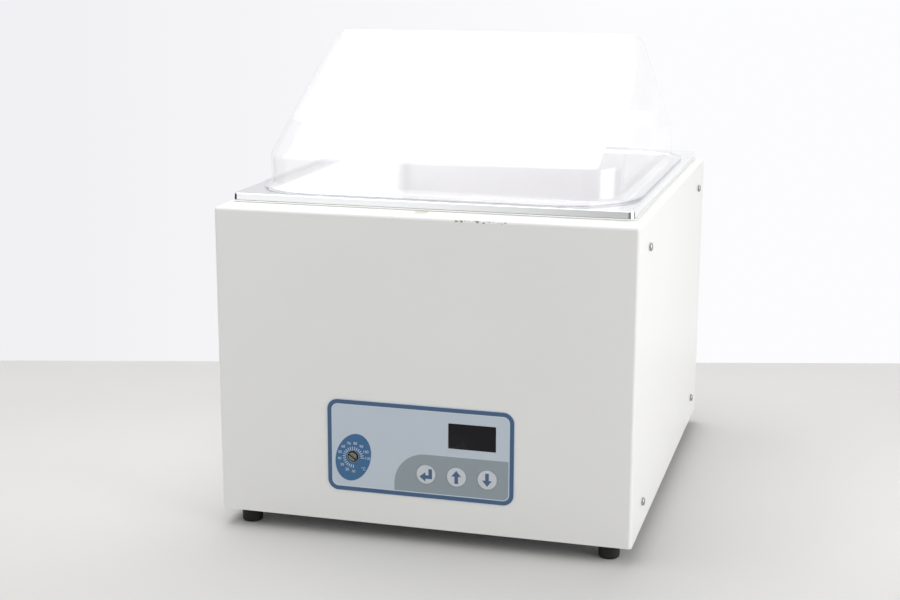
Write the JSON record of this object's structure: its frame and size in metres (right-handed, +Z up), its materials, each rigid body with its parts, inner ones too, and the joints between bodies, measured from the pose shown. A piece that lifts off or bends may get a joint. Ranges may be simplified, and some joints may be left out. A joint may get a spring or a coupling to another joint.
{
  "type": "laboratory water bath",
  "caption": "Bench water bath: painted sheet case, drawn stainless tank, clear lift-off gable lid, keypad with window, limiter dial, rear mains inlet and switch.",
  "frame": {"origin": "on the bench, under the middle of the case's width and depth", "axes": "+X to the right seen from the front, +Y from the front with the keys to the back, +Z up out of the tank"},
  "size_m": [0.3478, 0.4072, 0.3977],
  "materials": {
    "case_paint": "off-white powder coat with a fine texture",
    "zinc_sheet": "zinc plated sheet",
    "stainless": "polished stainless",
    "screw_steel": "bright plated screws",
    "clear_plastic": "clear thermoformed plastic",
    "black_rubber": "matt moulded rubber",
    "white_seal": "white silicone seal",
    "insulation": "fibre blanket and board",
    "heater_rubber": "silicone rubber mat",
    "aluminium": "mill finish plate",
    "label_film": "printed polyester film",
    "key_film": "printed key caps",
    "dark_window": "dark filter window",
    "black_plastic": "moulded black plastic",
    "board_green": "circuit board",
    "copper": "bare and enamelled copper",
    "brass": "plated brass",
    "lead_sleeve": "silicone sleeved wire",
    "white_plastic": "moulded white plastic"
  },
  "bodies": {
    "chassis": {"case_shell": "case_paint", "back_panel": "case_paint", "base_pan": "zinc_sheet", "front_cradle": "zinc_sheet", "rear_cradle": "zinc_sheet", "foot_front_left": "black_rubber", "foot_front_right": "black_rubber", "foot_rear_left": "black_rubber", "foot_rear_right": "black_rubber", "foot_screw_front_left": "screw_steel", "foot_screw_front_right": "screw_steel", "foot_screw_rear_left": "screw_steel", "foot_screw_rear_right": "screw_steel", "side_screw_left_front_low": "screw_steel", "side_screw_left_front_high": "screw_steel", "side_screw_left_rear_low": "screw_steel", "side_screw_left_rear_high": "screw_steel", "side_screw_right_front_low": "screw_steel", "side_screw_right_front_high": "screw_steel", "side_screw_right_rear_low": "screw_steel", "side_screw_right_rear_high": "screw_steel", "back_screw_left_low": "screw_steel", "back_screw_left_high": "screw_steel", "back_screw_right_low": "screw_steel", "back_screw_right_high": "screw_steel", "tank": "stainless", "rim_gasket": "white_seal", "tank_blanket": "insulation", "heater_mat": "heater_rubber", "heater_clamp_plate": "aluminium", "insulation_board": "insulation", "front_label": "label_film", "display_window": "dark_window", "key_switch_enter": "black_plastic", "key_switch_up": "black_plastic", "key_switch_down": "black_plastic", "display_module": "black_plastic", "control_board": "board_green", "limiter_housing": "black_plastic", "limiter_bulb": "copper", "temperature_probe": "stainless", "probe_lead": "lead_sleeve", "mains_inlet": "black_plastic", "inlet_pin_line": "brass", "inlet_pin_earth": "brass", "inlet_pin_neutral": "brass", "switch_housing": "black_plastic", "heater_relay": "black_plastic", "transformer": "copper", "terminal_block": "white_plastic", "heater_lead": "lead_sleeve", "supply_lead": "lead_sleeve"},
    "lid": {"lid": "clear_plastic"},
    "shelf": {"diffuser_tray": "stainless"},
    "enter_key": {"key_enter": "key_film"},
    "up_key": {"key_up": "key_film"},
    "down_key": {"key_down": "key_film"},
    "limiter_dial": {"limiter_set_screw": "screw_steel"},
    "rocker": {"power_rocker": "black_plastic"},
    "fuse_carrier": {"fuse_drawer": "black_plastic"}
  },
  "joints": [
    {"name": "lid_lift", "type": "slide", "parent": "chassis", "child": "lid", "axis": [0, 0, 1], "range_m": [0, 0.25]},
    {"name": "shelf_lift", "type": "slide", "parent": "chassis", "child": "shelf", "axis": [0, 0, 1], "range_m": [0, 0.15]},
    {"name": "enter_press", "type": "slide", "parent": "chassis", "child": "enter_key", "axis": [0, 1, 0], "range_m": [0, 0.0005], "stiffness_N_per_m": 2000},
    {"name": "up_press", "type": "slide", "parent": "chassis", "child": "up_key", "axis": [0, 1, 0], "range_m": [0, 0.0005], "stiffness_N_per_m": 2000},
    {"name": "down_press", "type": "slide", "parent": "chassis", "child": "down_key", "axis": [0, 1, 0], "range_m": [0, 0.0005], "stiffness_N_per_m": 2000},
    {"name": "limiter_turn", "type": "hinge", "parent": "chassis", "child": "limiter_dial", "pos_m": [-0.056, -0.195, 0.06938], "axis": [0, 1, 0], "range_deg": [-135, 135]},
    {"name": "rocker_tilt", "type": "hinge", "parent": "chassis", "child": "rocker", "pos_m": [0.0635, 0.201, 0.064], "axis": [1, 0, 0], "range_deg": [0, 20]},
    {"name": "fuse_pull", "type": "slide", "parent": "chassis", "child": "fuse_carrier", "axis": [0, 1, 0], "range_m": [0, 0.016]}
  ]
}
